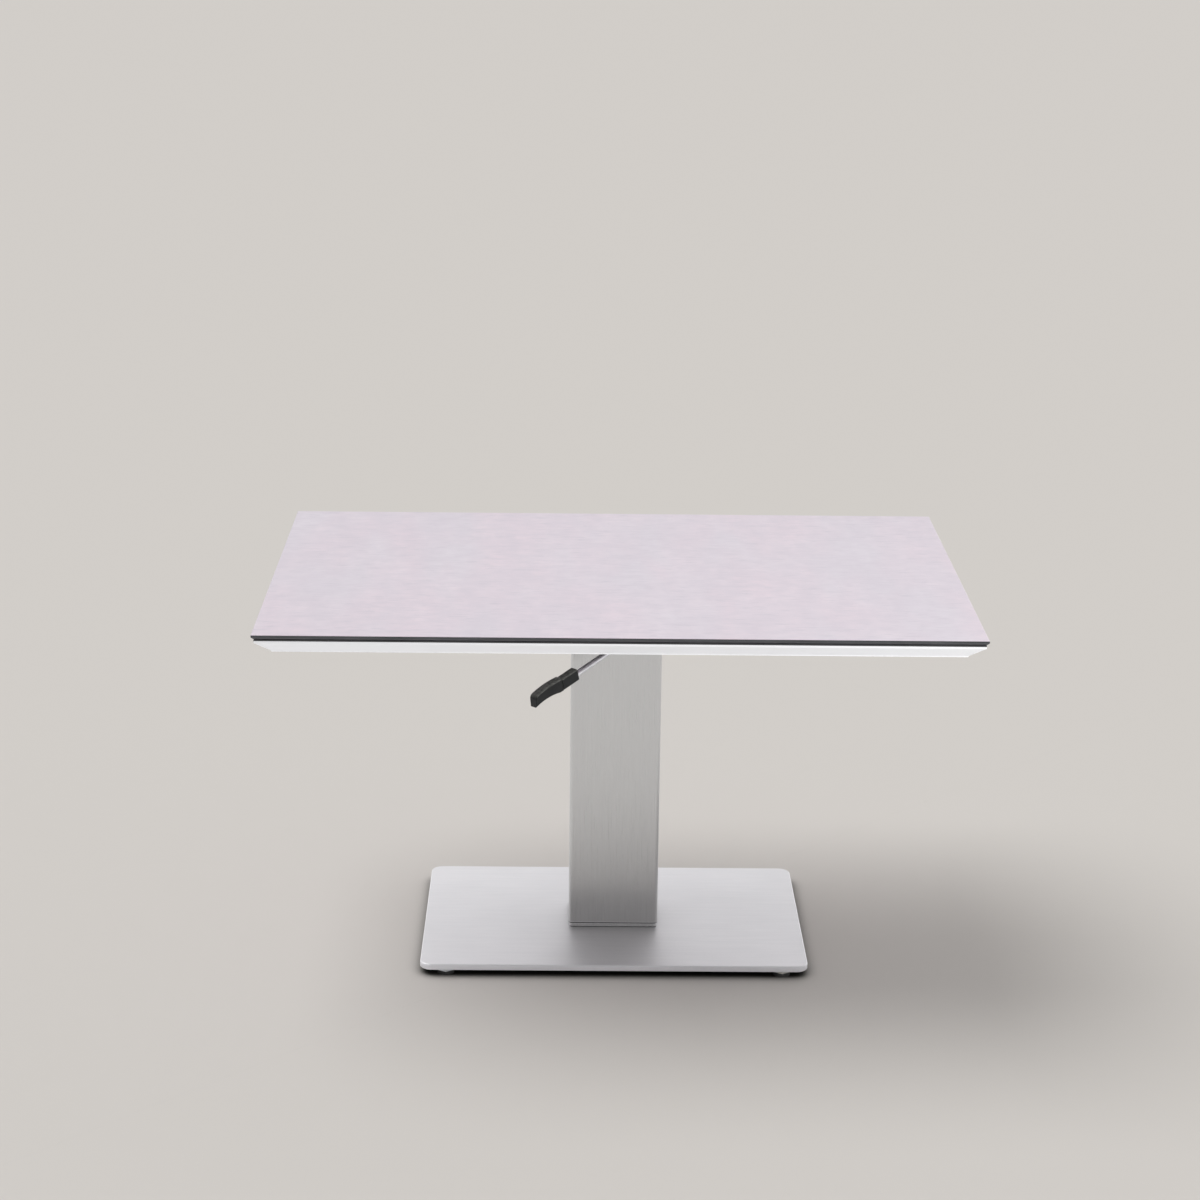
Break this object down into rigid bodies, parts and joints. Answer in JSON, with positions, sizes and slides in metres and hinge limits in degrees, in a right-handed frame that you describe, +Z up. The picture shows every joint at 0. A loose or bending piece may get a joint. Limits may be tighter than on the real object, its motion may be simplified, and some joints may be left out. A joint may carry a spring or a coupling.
{
  "type": "telescoping pedestal table",
  "caption": "Low table with a thin laminate top on a bevelled frame, one rectangular telescoping column with a gas-spring release lever, and a flat foot plate on glides.",
  "frame": {"origin": "on the floor under the middle of the top, where the glide pads stand", "axes": "+Z up; +X along the long side of the top, to the right of someone who faces the lever side; -Y is the side the lever comes out of"},
  "size_m": [0.9, 0.6, 0.505],
  "materials": {
    "laminate": "compact laminate, fine satin texture, dark core at the edge",
    "foam_tape": "foam bonding tape",
    "frame_coat": "extruded aluminium, fine silver-white powder coat",
    "cast_alloy": "die-cast, as cast",
    "dark_paint": "black powder coat on steel",
    "zinc_steel": "bright zinc plate",
    "brushed_column": "brushed stainless steel, grain upright",
    "plate_coat": "silver-grey satin coat on steel",
    "black_plastic": "acetal, as moulded",
    "rubber": "black rubber",
    "bright_rod": "hard chrome, polished",
    "grip_plastic": "black moulded plastic, satin"
  },
  "bodies": {
    "pedestal": {"base_plate": "plate_coat", "foot_flange": "plate_coat", "foot_screws": "zinc_steel", "foot_collar": "brushed_column", "inner_column": "brushed_column", "upper_guide": "black_plastic", "gas_cylinder": "dark_paint", "cylinder_lock_nut": "zinc_steel"},
    "table": {"table_top": "laminate", "bonding_tape": "foam_tape", "frame_front": "frame_coat", "frame_back": "frame_coat", "frame_left": "frame_coat", "frame_right": "frame_coat", "corner_cleats": "cast_alloy", "rail_left": "dark_paint", "rail_right": "dark_paint", "rail_rivet_nuts": "zinc_steel", "mounting_plate": "dark_paint", "mount_screws": "zinc_steel", "outer_sleeve": "brushed_column", "lower_guide": "black_plastic", "head_bracket": "dark_paint", "piston_rod": "bright_rod", "rod_nut": "zinc_steel", "pivot_pin": "zinc_steel", "pivot_clip": "zinc_steel"},
    "release_lever": {"lever_hub": "cast_alloy", "lever_rod": "bright_rod", "lever_grip": "grip_plastic"},
    "valve_pin": {"release_pin": "zinc_steel"},
    "glide_front_left": {"glide_stud_front_left": "zinc_steel", "glide_pad_front_left": "rubber"},
    "glide_back_left": {"glide_stud_back_left": "zinc_steel", "glide_pad_back_left": "rubber"},
    "glide_front_right": {"glide_stud_front_right": "zinc_steel", "glide_pad_front_right": "rubber"},
    "glide_back_right": {"glide_stud_back_right": "zinc_steel", "glide_pad_back_right": "rubber"}
  },
  "joints": [
    {"name": "lift", "type": "slide", "parent": "pedestal", "child": "table", "axis": [0, 0, 1], "range_m": [0, 0.22]},
    {"name": "lever_swing", "type": "hinge", "parent": "table", "child": "release_lever", "pos_m": [0, -0.017, 0.4165], "axis": [-1, 0, 0], "range_deg": [0, 9.5], "stiffness_Nm_per_rad": 1, "springref_deg": -17.19},
    {"name": "pin_press", "type": "slide", "parent": "table", "child": "valve_pin", "axis": [0, 0, -1], "range_m": [0, 0.0031]},
    {"name": "glide_height_front_left", "type": "slide", "parent": "pedestal", "child": "glide_front_left", "axis": [0, 0, -1], "range_m": [0, 0.004]},
    {"name": "glide_height_back_left", "type": "slide", "parent": "pedestal", "child": "glide_back_left", "axis": [0, 0, -1], "range_m": [0, 0.004]},
    {"name": "glide_height_front_right", "type": "slide", "parent": "pedestal", "child": "glide_front_right", "axis": [0, 0, -1], "range_m": [0, 0.004]},
    {"name": "glide_height_back_right", "type": "slide", "parent": "pedestal", "child": "glide_back_right", "axis": [0, 0, -1], "range_m": [0, 0.004]}
  ],
  "couplings": [
    {"joint": "pin_press", "follows": "lever_swing", "m_per_rad": 0.018}
  ]
}
